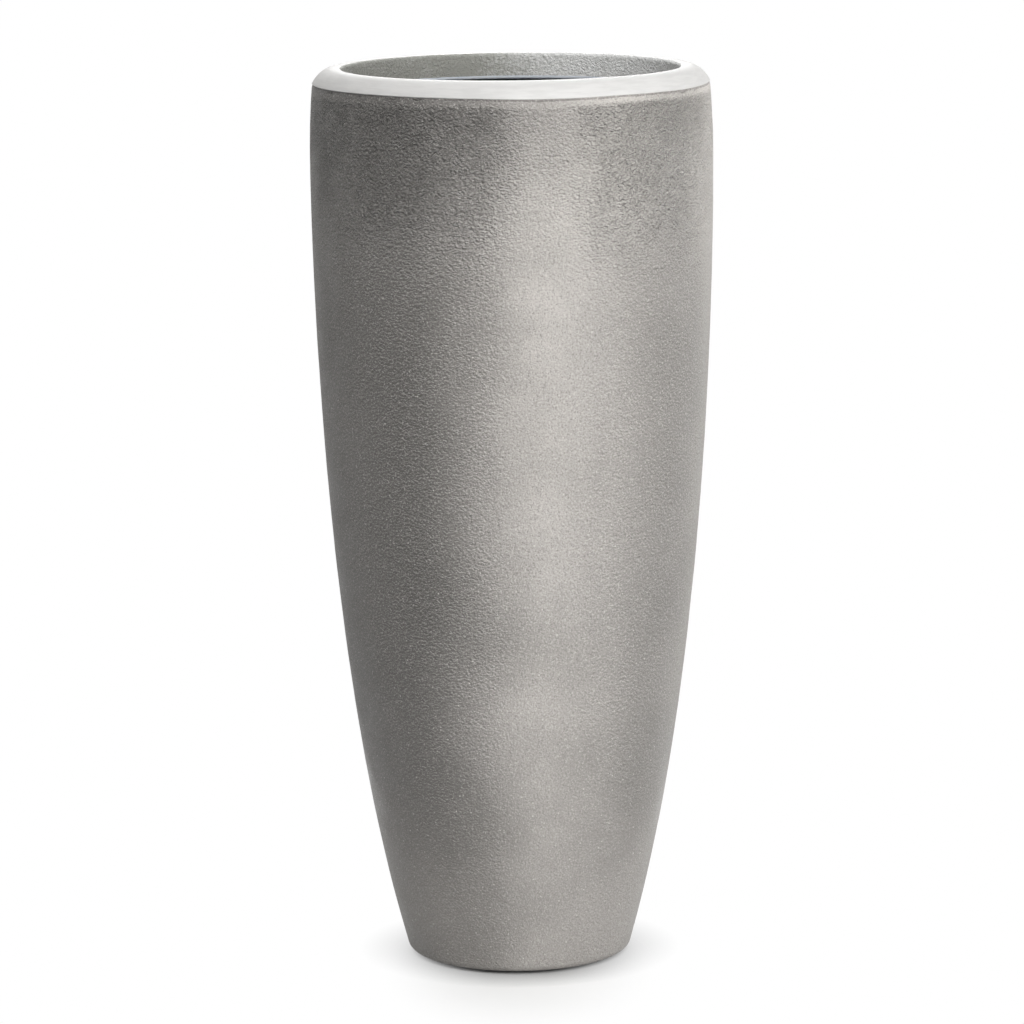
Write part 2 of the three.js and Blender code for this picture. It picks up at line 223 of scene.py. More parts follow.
def sprayedStoneCoat(name, look):
    material, tree, where = newMaterial(name)
    side, depth, level = add(tree, "SeparateXYZ", (where,), "all")
    cloudy, patches, grain, sand = coatNoises(tree, where, look)
    # coat holds the painted light and shade by bearing
    coat = paintedLightByBearing(tree, side, depth, cloudy, look)
    coarse, fine = coatRelief(tree, level, depth, coat, patches, grain, sand, look)
    # how far each grain faces up or down, for the painted light and shade on the grains
    wallFacing = add(tree, "NewGeometry", out="Normal")
    facing = [add(tree, "SeparateXYZ", (normal,), "Z") for normal in (coarse, wallFacing)]
    tilt = add(tree, "Math", facing, operation="SUBTRACT")

    # clouds, the painted light by bearing, then the darker band under the rim and the painted light and
    # shade by side and height
    clouds = add(tree, "MapRange", (cloudy, 0.3, 0.7), **smooth)
    colour = add(tree, "Mix", (clouds, srgb(look["cloudDark"]), srgb(look["cloudPale"])), **inColour)
    colour = add(tree, "Mix", (look["cloudMix"], colour, srgb(look["colour"])), **inColour)
    even = add(tree, "MapRange", (level, *look["bearingLightFade"]), **smooth)
    lightByBearing = add(tree, "Mix", (even, (*[look["bearingLightFoot"]] * 3, 1), coat), **inColour)
    for share in (lightByBearing, underRimBandAndPaintedLight(tree, side, level, patches, look)):
        colour = add(tree, "Mix", (1.0, colour, share), blend_type="MULTIPLY", **inColour)

    # dull patches, dark and pale sand, mineral flecks, then painted light on the grains' tops and painted
    # shade under them
    calm = add(tree, "MapRange", (level, *look["sandByFoot"]), **smooth)
    spots = add(tree, "TexVoronoi", {
        "Vector": where, "Scale": 1 / look["fleckSize"], "Randomness": 1.0}, "all", feature="F1")
    pick = add(tree, "SeparateColor", (spots["Color"],))
    chosen = add(tree, "MapRange", (pick, *look["fleckPick"]), **smooth)
    for value, key, part, tone in (
            (patches, "dullPatch", None, "pit"), (sand, "darkSand", calm, "pit"),
            (sand, "paleSand", calm, "fleck"), (spots["Distance"], "fleckCell", chosen, "fleck"),
            (tilt, "dustAndTopLight", None, "fleck"), (tilt, "shade", None, "pit")):
        share = add(tree, "MapRange", (value, *look[key]), **smooth)
        if part:
            share = add(tree, "Math", (share, part), operation="MULTIPLY")
        colour = add(tree, "Mix", (share, colour, srgb(look[tone])), **inColour)

    rough = add(tree, "MapRange", (patches, 0.3, 0.7, *look["roughness"]))
    return finished(material, tree, look, colour, rough, fine)


# Rim coat: white-pigmented gel coat, wiped smooth by hand before it set.
# It reads as a chalky off-white satin, with faint drag marks running round the rim.
rimCoat = {
    "colour": "#D5D4D2",
    "shade": "#CCCBC9",
    "dragSize": 26 * mm,
    "dragSqueeze": (1.0, 1.0, 9.0),  # flat in height, so that the marks run round the rim
    "speckSize": 3 * mm,
    "dragHeight": 0.07 * mm,
    "speckHeight": 0.05 * mm,
    "specks": (0.25, 0.4, 0.25, 0.0),
    "roughness": (0.5, 0.66),
    "ior": 1.5,
}


def wipedGelCoat(name, look):
    material, tree, where = newMaterial(name)
    along = add(tree, "Mapping", {"Vector": where, "Scale": look["dragSqueeze"]})
    drag = add(tree, "TexNoise", {
        "Vector": along, "Scale": 1 / look["dragSize"], "Detail": 5.0, "Roughness": 0.6})
    specks = add(tree, "TexNoise", {
        "Vector": where, "Scale": 1 / look["speckSize"], "Detail": 3.0, "Roughness": 0.6})
    marks = add(tree, "MapRange", (drag, 0.35, 0.65), **smooth)
    colour = add(tree, "Mix", (marks, srgb(look["shade"]), srgb(look["colour"])), **inColour)
    dark = add(tree, "MapRange", (specks, *look["specks"]), **smooth)
    colour = add(tree, "Mix", (dark, colour, srgb(look["shade"])), **inColour)
    rough = add(tree, "MapRange", (drag, 0.3, 0.7, *look["roughness"]))
    bump = add(tree, "Bump", {"Strength": 0.6, "Distance": look["dragHeight"], "Height": drag})
    fine = add(tree, "Bump", {
        "Strength": 0.4, "Distance": look["speckHeight"], "Height": specks, "Normal": bump})
    return finished(material, tree, look, colour, rough, fine)


# Inside of the lip: the same gel coat, dusted over with the tail of the stone coat's spray.
# The dusting is greenish grey and gritty; its paler right side, where the pale coat shows, is painted light.
dustedLip = {
    "dustAndTopLight": "#ADADA6",
    "bare": "#F6F6F4",
    "dustSize": 2.4 * mm,
    "patchSize": 45 * mm,
    "height": 2.8 * mm,
    "lightToRight": (-0.04, 0.07, 0.05, 1.0),  # painted light: paler from the left side to the right
    "thinPatch": (0.3, 0.7, -0.15, 0.15),
    "thinGrit": (0.3, 0.7, -0.3, 0.3),
    "roughness": 0.62,
    "ior": 1.5,
}


def dustedGelCoat(name, look):
    material, tree, where = newMaterial(name)
    across = add(tree, "SeparateXYZ", (where,), "X")
    grit = add(tree, "TexNoise", {
        "Vector": where, "Scale": 1 / look["dustSize"], "Detail": 3.0, "Roughness": 0.6,
        "Distortion": 0.5})
    patches = add(tree, "TexNoise", {"Vector": where, "Scale": 1 / look["patchSize"], "Detail": 3.0})
    # painted light: the pale coat shows more towards the right
    shows = add(tree, "MapRange", (across, *look["lightToRight"]))
    for value, key in ((patches, "thinPatch"), (grit, "thinGrit")):
        share = add(tree, "MapRange", (value, *look[key]))
        shows = add(tree, "Math", (shows, share), operation="ADD")
    shows = add(tree, "MapRange", (shows, 0.0, 1.0), **smooth)
    colour = add(tree, "Mix", (shows, srgb(look["dustAndTopLight"]), srgb(look["bare"])), **inColour)
    bump = add(tree, "Bump", {"Strength": 1.0, "Distance": look["height"], "Height": grit})
    return finished(material, tree, look, colour, look["roughness"], bump)


# Bare laminate: chopped-strand glass mat wetted out with dark resin and rolled down by hand.
# Crossing strands show through a half-gloss resin skin.
laminate = {
    "resin": "#4A4845",
    "strand": "#6B6862",
    "strandLength": 42 * mm,
    "strandWidth": 2.2 * mm,
    "strandHeight": 0.35 * mm,
    "turns": [(0.3, 0.9, 0.2), (1.4, -0.5, 1.1), (-0.8, 0.4, 2.3), (0.9, 1.7, -0.9)],  # lie of each layer
    "roughness": (0.38, 0.6),
    "ior": 1.55,  # resin and glass together
}


def handLaidLaminate(name, look):
    material, tree, where = newMaterial(name)
    strands = None
    length, width = look["strandLength"], look["strandWidth"]
    for turn in look["turns"]:
        laid = add(tree, "Mapping", {"Vector": where, "Rotation": turn})
        stretched = add(tree, "Mapping", {"Vector": laid, "Scale": (1 / length, 1 / width, 1 / width)})
        layer = add(tree, "TexNoise", {"Vector": stretched, "Scale": 1.0, "Detail": 1.0, "Roughness": 0.4})
        strands = layer if strands is None else add(tree, "Math", (strands, layer), operation="MAXIMUM")
    shows = add(tree, "MapRange", (strands, 0.55, 0.75), **smooth)
    colour = add(tree, "Mix", (shows, srgb(look["resin"]), srgb(look["strand"])), **inColour)
    rough = add(tree, "MapRange", (strands, 0.5, 0.75, *look["roughness"]))
    bump = add(tree, "Bump", {"Strength": 0.8, "Distance": look["strandHeight"], "Height": strands})
    return finished(material, tree, look, colour, rough, bump)


# Moulded goods: polypropylene from a spark-eroded mould for the shelf, and EPDM rubber for the
# plug and pads. Both give a fine even grain, and the rubber a dusty bloom.
shelfPlastic = {
    "colour": "#343433",
    "worn": "#4B4A48",
    "wornSize": 40 * mm,
    "wear": (0.42, 0.72, 0.0, 0.6),
    "textureSize": 1.1 * mm,  # 0.3 mm spark texture, drawn coarser so that it shows
    "textureHeight": 0.06 * mm,
    "roughness": (0.46, 0.62),
    "ior": 1.49,
}

rubber = {
    "colour": "#232322",
    "worn": "#3A3937",
    "wornSize": 9 * mm,
    "wear": (0.42, 0.72, 0.0, 0.6),
    "textureSize": 1.0 * mm,
    "textureHeight": 0.04 * mm,
    "roughness": (0.62, 0.85),
    "ior": 1.52,
}


def mouldedPolymer(name, look):
    material, tree, where = newMaterial(name)
    wear = add(tree, "TexNoise", {
        "Vector": where, "Scale": 1 / look["wornSize"], "Detail": 5.0, "Roughness": 0.65})
    texture = add(tree, "TexNoise", {"Vector": where, "Scale": 1 / look["textureSize"], "Detail": 1.5})
    worn = add(tree, "MapRange", (wear, *look["wear"]), **smooth)
    colour = add(tree, "Mix", (worn, srgb(look["colour"]), srgb(look["worn"])), **inColour)
    rough = add(tree, "MapRange", (wear, 0.3, 0.7, *look["roughness"]))
    bump = add(tree, "Bump", {"Strength": 0.8, "Distance": look["textureHeight"], "Height": texture})
    return finished(material, tree, look, colour, rough, bump)


stoneMaterial = sprayedStoneCoat("sprayedStoneCoat", stoneCoat)
# the same coat where it has run into the joint under the rim, with grime in it
jointMaterial = sprayedStoneCoat("grimyStoneCoat", {
    **stoneCoat, "colour": "#8A8682", "cloudDark": "#827E7A", "cloudPale": "#938F8B"})
lipMaterial = dustedGelCoat("dustedGelCoat", dustedLip)
rimMaterial = wipedGelCoat("wipedGelCoat", rimCoat)
# the trimmed gel-coat edge under the lip is a brighter bluish white than the rim: the bare gel coat with a
# painted highlight
trimHighlightMaterial = wipedGelCoat("trimmedEdgePaintedHighlight", {**rimCoat, "colour": "#EEF4FC", "shade": "#E2EAF5"})
laminateMaterial = handLaidLaminate("handLaidLaminate", laminate)
shelfMaterial = mouldedPolymer("mouldedPolypropylene", shelfPlastic)
rubberMaterial = mouldedPolymer("mouldedRubber", rubber)
print("materials ready")


def bezier(p0, p1, p2, p3, steps):
    # a curve in (radius, level), to be turned round the planter's axis
    points = []
    for i in range(steps + 1):
        t = i / steps
        a, b, c, d = (1 - t) ** 3, 3 * (1 - t) ** 2 * t, 3 * (1 - t) * t * t, t ** 3
        points.append(tuple(a * p0[k] + b * p1[k] + c * p2[k] + d * p3[k] for k in (0, 1)))
    return points


def arc(centre, radius, start, end, steps):
    # angles in degrees, anticlockwise from straight out
    points = []
    for i in range(steps + 1):
        a = math.radians(start + (end - start) * i / steps)
        points.append((centre[0] + radius * math.cos(a), centre[1] + radius * math.sin(a)))
    return points


def zone(points, name):
    return [(r, z, name) for r, z in points]


def turned(name, profile, materials, segments=384, shape=None):
    # profile: (radius, level, zone) in mm, anticlockwise; each point's zone colours the strip
    # that starts there; a radius of 0 closes on the axis
    names = list(materials)
    verts, faces, faceZones = [], [], []
    rings = []
    for r, z, place in profile:
        if r == 0:
            rings.append([len(verts)])
            verts.append((0, 0, z * mm))
            continue
        ring = []
        for step in range(segments):
            angle = 2 * math.pi * step / segments
            rr, zz = shape(r, z, angle, place) if shape else (r, z)
            ring.append(len(verts))
            verts.append((rr * mm * math.cos(angle), rr * mm * math.sin(angle), zz * mm))
        rings.append(ring)
    closed = profile[0][0] > 0 or profile[-1][0] > 0
    count = len(profile) if closed else len(profile) - 1
    for i in range(count):
        lower, upper = rings[i], rings[(i + 1) % len(rings)]
        material = names.index(profile[i][2])
        for step in range(segments):
            after = (step + 1) % segments
            if len(lower) == 1:
                face = (lower[0], upper[after], upper[step])
            elif len(upper) == 1:
                face = (lower[step], lower[after], upper[0])
            else:
                face = (lower[step], lower[after], upper[after], upper[step])
            faces.append(face)
            faceZones.append(material)
    mesh = bpy.data.meshes.new(name)
    mesh.from_pydata(verts, [], faces)
    for place in names:
        mesh.materials.append(materials[place])
    mesh.polygons.foreach_set("material_index", faceZones)
    mesh.shade_smooth()
    mesh.set_sharp_from_angle(angle=math.radians(32))
    mesh.update()
    piece = bpy.data.objects.new(name, mesh)
    bpy.context.scene.collection.objects.link(piece)
    return piece


# the shell: sizes in mm; the first five lines are the solid's own
shell = {
    "height": 800, "rimRise": 13.8, "rimWidth": 26.5, "bellyRadius": 178.5, "bellyDrop": 68.5,
    "shoulderInset": 2.8, "baseRadius": 99.5, "flare": 15.8, "shoulderLean": 5.5, "flarePull": 272,
    "bellyPull": 69, "shoulderPull": 21, "wall": 6, "baseThickness": 8, "heel": 8, "cove": 18,
    "footRing": 30, "footRecess": 4, "footDraft": 2, "baseFall": 3, "standoff": 2, "edge": 0.8,
    "drain": 13, "drainTaper": 1.5, "drainSeat": 24,
    "waviness": 0.35,  # depth of the slow dents that hand rolling leaves
    "wavinessSize": 38,
    "grit": 0.16,
    "gritSize": 9,
    "jointWander": 0.9,  # how unevenly the joint under the rim is filled
    # (bearing from the front, width, depth)
    "chips": [(-27.5, 4.5, 1.8), (-35, 8, 1.2), (-48, 5, 1.0), (-63, 7, 1.5), (58, 6, 1.4), (66, 4, 1.7),
              (38, 4, 0.8), (8, 5, 0.6)],
    # how far the joint line sags, by bearing from the front
    "jointSag": [(-180, 0.2), (-100, 0.3), (-45, -0.2), (-20, 0.1), (-11, 0.5), (4, 1.4), (14, 1.4),
                 (33, 0.7), (60, 1.0), (100, 0.2), (180, 0.2)],
    "seed": 7,
}

s = shell
shoulderLevel = s["height"] - s["rimRise"]
shoulderRadius = s["bellyRadius"] - s["shoulderInset"]
mouthRadius = shoulderRadius - s["rimWidth"]
flare = math.radians(s["flare"])
lean = math.radians(s["shoulderLean"])


def flooredRound(radius, level, size):
    # centre of the round between a flat floor and the wall's leaning line
    return (radius + size * math.tan(flare) - size / math.cos(flare), level + size)


def outerWall():
    heelCentre = flooredRound(s["baseRadius"], s["standoff"], s["heel"])
    heel = arc(heelCentre, s["heel"], -90, -s["flare"], 8)
    foot, belly = heel[-1], (s["bellyRadius"], shoulderLevel - s["bellyDrop"])
    pull = s["flarePull"]
    low = bezier(foot, (foot[0] + pull * math.sin(flare), foot[1] + pull * math.cos(flare)),
                 (belly[0], belly[1] - s["bellyPull"]), belly, 150)
    top = (shoulderRadius, shoulderLevel)
    high = bezier(belly, (belly[0], belly[1] + s["shoulderPull"]),
                  (top[0] + s["shoulderPull"] * math.sin(lean), top[1] - s["shoulderPull"] * math.cos(lean)),
                  top, 22)
    return heel, low, high


heelLine, lowLine, highLine = outerWall()


def movedIn(points, distance):
    moved = []
    for i, (r, z) in enumerate(points):
        before, after = points[max(i - 1, 0)], points[min(i + 1, len(points) - 1)]
        dr, dz = after[0] - before[0], after[1] - before[1]
        length = math.hypot(dr, dz)
        moved.append((r - dz / length * distance, z + dr / length * distance))
    return moved


def innerWall():
    baseTop = s["standoff"] + s["footRecess"] + s["baseThickness"] + s["baseFall"]
    coveFoot = (s["baseRadius"] + (baseTop - s["standoff"]) * math.tan(flare) - s["wall"] / math.cos(flare))
    cove = arc(flooredRound(coveFoot, baseTop, s["cove"]), s["cove"], -90, -s["flare"], 6)
    wall = movedIn(lowLine[::6], s["wall"]) + movedIn(highLine[::5], s["wall"])[1:]
    wall = [p for p in wall if cove[-1][1] + 9 < p[1] < shoulderLevel - 4]
    return cove + wall + [(shoulderRadius - s["wall"] / math.cos(lean), shoulderLevel)]


bore = innerWall()


def onBore(level):
    for low, high in zip(bore, bore[1:]):
        if low[1] <= level <= high[1]:
            return low[0] + (high[0] - low[0]) * (level - low[1]) / (high[1] - low[1])
    return bore[-1][0]


def boreLevel(radius):
    for low, high in zip(bore, bore[1:]):
        if low[0] <= radius <= high[0]:
            return low[1] + (high[1] - low[1]) * (radius - low[0]) / (high[0] - low[0])
    return bore[-1][1]


# a few more chips are strewn round the back
strewn = random.Random(s["seed"])
chips = s["chips"] + [(strewn.uniform(85, 275), strewn.uniform(2, 6), strewn.uniform(0.4, 1.1))
                      for _ in range(11)]


def chipDepth(angle, radius):
    depth = 0
    bearing = math.degrees(angle) + 90  # angle 0 is +X, and the front faces -Y
    for where, width, deep in chips:
        off = math.radians((bearing - where + 180) % 360 - 180) * radius
        depth = max(depth, deep * max(0, 1 - (off / width) ** 2))
    return depth


def jointSag(angle):
    bearing = (math.degrees(angle) + 90 + 180) % 360 - 180
    for (start, low), (end, high) in zip(s["jointSag"], s["jointSag"][1:]):
        if start <= bearing <= end:
            share = 0.5 - 0.5 * math.cos(math.pi * (bearing - start) / (end - start))
            return low + (high - low) * share
    return 0


def wallGrit(r, z, angle, place):
    # real dents and grit in the mesh, inwards only, so that the outline isn't machine-perfect
    if place not in ("coat", "edge"):
        return r, z
    at = Vector((r * math.cos(angle), r * math.sin(angle), z))
    slow = 0.5 + 0.5 * noise.noise(at / s["wavinessSize"])
    quick = 0.5 + 0.5 * noise.noise(at / s["gritSize"] + Vector((31, 7, 5)))
    dent = s["waviness"] * slow + s["grit"] * quick
    near = max(0, (z - shoulderLevel + 30) / 30)
    z -= jointSag(angle) * near * near
    if place == "edge":
        wander = s["jointWander"] * (0.5 + 0.5 * noise.noise(at / 11)) + chipDepth(angle, r)
        return r - dent - 0.6 * wander, z - wander
    return r - dent * min(1, (z - s["standoff"]) / 12), z


def shellProfile():
    ringOuter = heelLine[0][0]
    panel = s["standoff"] + s["footRecess"]
    seat = panel + s["baseThickness"]
    under = [(s["drain"], panel), (ringOuter - s["footRing"] - s["footDraft"], panel),
             (ringOuter - s["footRing"], s["standoff"])]
    profile = zone(under, "laminate")
    profile += zone(heelLine + lowLine[1:] + highLine[1:-1], "coat")
    profile += [(shoulderRadius, shoulderLevel - s["edge"], "edge"),
                (shoulderRadius - s["edge"], shoulderLevel, "laminate")]
    profile += zone(bore[::-1], "laminate")
    profile += [(s["drainSeat"], seat, "laminate"), (s["drain"] + s["drainTaper"], seat, "laminate")]
    return profile


wall = turned("planterWall", shellProfile(),
              {"coat": stoneMaterial, "edge": jointMaterial, "laminate": laminateMaterial}, 384, wallGrit)
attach(wall, "planter")
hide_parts("body_shell")
print("shell turned")


# the rim ring: sizes in mm, the solid's own but for the lip, which is 1 mm rounder at the top and
# hangs 1.5 mm lower, as the photograph shows it
rim = {
    "land": 8.5, "slope": 57, "crownPull": 11, "landPull": 6, "lip": 3, "crown": 6,
    "returnDepth": 24.0, "returnThickness": 5, "skirtDepth": 30, "skirt": 4.5, "bond": 0.3,
    "facePoints": (3, 8, 13),  # down the inside of the lip
    "trimRise": 0.8,  # how far the clean trimmed edge reaches above its round
    "grit": 0.25, "gritSize": 6,  # roughness of the crown where it meets the joint
    "handWave": 0.25,  # how far hand wiping leaves the crown off a true round
    "handWaveSize": 55,
}


def rimProfile():
    foot = shoulderLevel + rim["bond"]
    slope = math.radians(rim["slope"])
    start = (shoulderRadius, foot + s["edge"])
    landStart = (mouthRadius + rim["land"], s["height"])
    pull = rim["crownPull"]
    crown = bezier(start, (start[0] - pull * math.cos(slope), start[1] + pull * math.sin(slope)),
                   (landStart[0] + rim["landPull"], s["height"]), landStart, 26)
    lip = arc((mouthRadius + rim["lip"], s["height"] - rim["lip"]), rim["lip"], 90, 180, 8)
    half = rim["returnThickness"] / 2
    edgeLevel = s["height"] - rim["returnDepth"]
    edge = arc((mouthRadius + half, edgeLevel + half), half, 180, 360, 10)
    skirtFoot = shoulderLevel - rim["skirtDepth"]
    hollow = s["height"] - rim["crown"]
    face = [(mouthRadius, s["height"] - rim["lip"] - step) for step in rim["facePoints"]]
    profile = [(shoulderRadius - s["edge"], foot, "pale")]
    profile += zone(crown, "pale") + zone(lip[:2], "pale") + zone(lip[2:] + face, "grey")
    # the trimmed edge, coloured with its painted highlight
    profile += zone([(mouthRadius, edgeLevel + half + rim["trimRise"])] + edge, "trim")
    profile += zone([(mouthRadius + rim["returnThickness"], hollow),
                     (onBore(shoulderLevel) - rim["bond"] - rim["skirt"], hollow - rim["crown"]),
                     (onBore(skirtFoot) - rim["bond"] - rim["skirt"], skirtFoot),
                     (onBore(skirtFoot) - rim["bond"], skirtFoot),
                     (onBore(skirtFoot + 12) - rim["bond"], skirtFoot + 12),
                     (onBore(shoulderLevel) - rim["bond"], shoulderLevel),
                     (onBore(shoulderLevel) - rim["bond"], foot)], "laminate")
    return profile


def handWiped(r, z, angle, place):
    if place != "pale" or z >= s["height"] - 0.01:
        return r, z
    at = Vector((r * math.cos(angle), r * math.sin(angle), z))
    off = rim["handWave"] * (0.5 + 0.5 * noise.noise(at / rim["handWaveSize"]))
    z -= jointSag(angle) * ((s["height"] - z) / s["rimRise"]) ** 2
    if z < shoulderLevel + 2:
        off += rim["grit"] * (0.5 + 0.5 * noise.noise(at / rim["gritSize"]))
    return r - off, z - 0.4 * off


rimRing = turned("planterRim", rimProfile(), {
    "pale": rimMaterial, "grey": lipMaterial, "trim": trimHighlightMaterial, "laminate": laminateMaterial},
    512, handWiped)
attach(rimRing, "planter")
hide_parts("rim_ring")
print("rim turned")


# the planting shelf: a polypropylene moulding, cored from below; sizes in mm, the solid's own, and
# the water grooves and eased corners that such a moulding has
shelf = {
    "passing": 6, "gap": 1.5, "plate": 5, "depth": 24, "edge": 4, "rounding": 3, "hub": 20, "hubWall": 4,
    "ribs": 8, "rib": 3.2, "ribDepth": 12, "fingerHole": (13, 50), "waterHole": 6,
    "holeCircles": [(80, 8, 0), (118, 16, 11.25)],  # radius, count, first bearing
    "grooves": [68, 98],  # shallow rings that lead the water to the holes
    "groove": (1.2, 0.8),  # half width, depth
    "corner": 0.5,
}

shelfRadius = mouthRadius - shelf["passing"]
shelfTop = boreLevel(shelfRadius + shelf["gap"])
shelfFoot = shelfTop - shelf["depth"]
plateFoot = shelfTop - shelf["plate"]
ribFoot = plateFoot - shelf["ribDepth"]


def box(verts, faces, centre, size, angle):
    # a box on its bearing, added to a mesh's lists
    first = len(verts)
    cosine, sine = math.cos(angle), math.sin(angle)
    for i in (-0.5, 0.5):
        for j in (-0.5, 0.5):
            for k in (-0.5, 0.5):
                x, y, z = centre[0] + i * size[0], centre[1] + j * size[1], centre[2] + k * size[2]
                verts.append(((x * cosine - y * sine) * mm, (x * sine + y * cosine) * mm, z * mm))
    for face in ((0, 1, 3, 2), (4, 6, 7, 5), (0, 4, 5, 1), (2, 3, 7, 6), (0, 2, 6, 4), (1, 5, 7, 3)):
        faces.append([first + corner for corner in face])


def bars(name, places, low, high, steps=40):
    # upright round bars at (radius, bearing, size), as one cutting mesh
    verts, faces = [], []
    for out, bearing, size in places:
        a, first = math.radians(bearing), len(verts)
        for z in (low, high):
            for i in range(steps):
                t = 2 * math.pi * i / steps
                verts.append(((out * math.cos(a) + size * math.cos(t)) * mm,
                              (out * math.sin(a) + size * math.sin(t)) * mm, z * mm))
        faces.append([first + i for i in range(steps)][::-1])
        faces.append([first + steps + i for i in range(steps)])
        for i in range(steps):
            j = (i + 1) % steps
            faces.append([first + i, first + j, first + steps + j, first + steps + i])
    return meshPiece(name, verts, faces)


def meshPiece(name, verts, faces, material=None):
    mesh = bpy.data.meshes.new(name)
    mesh.from_pydata(verts, [], faces)
    if material:
        mesh.materials.append(material)
    piece = bpy.data.objects.new(name, mesh)
    bpy.context.scene.collection.objects.link(piece)
    return piece


def cut(piece, tool, operation):
    change = piece.modifiers.new(operation.lower(), "BOOLEAN")
    change.operation, change.object, change.solver = operation, tool, "EXACT"
    settle(piece)
    bpy.data.objects.remove(tool)


def settle(piece):
    # the modifiers' result becomes the mesh
    solved = piece.evaluated_get(bpy.context.evaluated_depsgraph_get())
    mesh = bpy.data.meshes.new_from_object(solved)
    piece.modifiers.clear()
    piece.data = mesh


def eased(piece, width, steps=2, angle=35):
    ease = piece.modifiers.new("eased", "BEVEL")
    ease.width, ease.segments = width * mm, steps
    ease.limit_method, ease.angle_limit = "ANGLE", math.radians(angle)
    settle(piece)
    piece.data.shade_smooth()
    for face in piece.data.polygons:
        # level faces and cut plates stay flat, so that no cut shades them in streaks
        face.use_smooth = abs(face.normal.z) < 0.999 and len(face.vertices) <= 12
    piece.data.set_sharp_from_angle(angle=math.radians(32))


def shelfProfile():
    footRadius = onBore(shelfFoot) - shelf["gap"]
    inner = shelfRadius - shelf["edge"]
    half, deep = shelf["groove"]
    points = [(0, plateFoot), (shelf["hub"] - shelf["hubWall"], plateFoot),
              (shelf["hub"] - shelf["hubWall"], ribFoot), (shelf["hub"], ribFoot), (shelf["hub"], plateFoot),
              (inner - shelf["rounding"], plateFoot), (inner, plateFoot - shelf["rounding"]),
              (footRadius - shelf["edge"], shelfFoot), (footRadius, shelfFoot)]
    size = shelf["rounding"]
    points += arc((shelfRadius - size, shelfTop - size), size, 0, 90, 6)
    for radius in sorted(shelf["grooves"], reverse=True):
        points += [(radius + half, shelfTop), (radius, shelfTop - deep), (radius - half, shelfTop)]
    return zone(points + [(0, shelfTop)], "moulded")


def plantingShelf():
    pan = turned("plantingShelf", shelfProfile(), {"moulded": shelfMaterial}, 144)
    verts, faces = [], []
    start = shelf["hub"] - shelf["hubWall"] / 2
    length = shelfRadius - shelf["edge"] - shelf["rounding"] - start
    tall = shelf["ribDepth"] + shelf["plate"] / 2
    middle, size = (start + length / 2, 0, ribFoot + tall / 2), (length, shelf["rib"], tall)
    for i in range(shelf["ribs"]):
        box(verts, faces, middle, size, (i + 0.5) * 2 * math.pi / shelf["ribs"])
    cut(pan, meshPiece("ribs", verts, faces), "UNION")
    size, spread = shelf["fingerHole"]
    holes = [(spread, 0, size), (spread, 180, size)]
    for radius, count, first in shelf["holeCircles"]:
        holes += [(radius, first + 360 * i / count, shelf["waterHole"]) for i in range(count)]
    cut(pan, bars("holes", holes, ribFoot - 5, shelfTop + 5), "DIFFERENCE")
    eased(pan, shelf["corner"])
    return pan


shelfPiece = plantingShelf()
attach(shelfPiece, "shelf")
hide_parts("planting_shelf")
print("shelf moulded,", len(shelfPiece.data.polygons), "faces")


# the cleats: gussets laid up by hand and bonded inside the wall; sizes in mm
cleat = {"count": 3, "width": 30, "reach": 24, "height": 42, "nose": 9, "rest": 0.3, "bond": 0.3,
         "corner": 1.2, "skin": 0.6, "slices": 10}


def cleatOutline(sideways):
    # the gusset's side, from the wall round its nose, where it is `sideways` mm off its middle
    top = shelfFoot - cleat["rest"]
    low = top - cleat["height"]
    wallAt = onBore(top)

    def onWall(level):
        return math.sqrt((onBore(level) - cleat["bond"]) ** 2 - sideways ** 2)

    nose = wallAt - cleat["reach"]
    points = [(onWall(top), top), (nose, top), (nose, top - cleat["nose"])]
    for t in [i / 10 for i in range(1, 11)]:
        level = (1 - t) * (top - cleat["nose"]) + t * t * low + t * (1 - t) * (top - cleat["nose"])
        across = (1 - t) ** 2 * nose + 2 * t * (1 - t) * onBore(low) + t * t * onBore(low)
        points.append((min(across, onWall(level) - cleat["skin"]), level))
    back = [low + k * cleat["height"] / 6 for k in range(1, 6)]
    return points + [(onWall(low), low)] + [(onWall(level), level) for level in back]


def cleatPiece(index):
    angle = math.pi / 2 + index * 2 * math.pi / cleat["count"]
    cosine, sine = math.cos(angle), math.sin(angle)
    verts, faces, steps = [], [], cleat["slices"]
    for i in range(steps + 1):
        t = (i / steps - 0.5) * cleat["width"]
        outline = cleatOutline(t)
        for r, z in outline:
            verts.append(((r * cosine - t * sine) * mm, (r * sine + t * cosine) * mm, z * mm))
    count = len(outline)
    faces.append(list(range(count))[::-1])
    faces.append([steps * count + i for i in range(count)])
    for i in range(steps):
        for k in range(count):
            j = (k + 1) % count
            faces.append([i * count + k, i * count + j, (i + 1) * count + j, (i + 1) * count + k])
    piece = meshPiece("cleat", verts, faces, laminateMaterial)
    eased(piece, cleat["corner"], 3, 50)
    return piece


for index in range(cleat["count"]):
    gusset = cleatPiece(index)
    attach(gusset, "planter")
    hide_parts(f"shelf_cleat_{index + 1}")
print("cleats laid up")


# the drain plug and the pads: moulded rubber; sizes in mm
plug = {"clearance": 0.3, "tail": 1.5, "rest": 0.3, "flange": (20, 3.5), "neck": (5.5, 9), "knob": (10, 7),
        "rounding": 1.5}
pad = {"count": 4, "radius": 11, "height": 1.7, "bevel": 0.5, "dimple": (6.5, 0.35)}


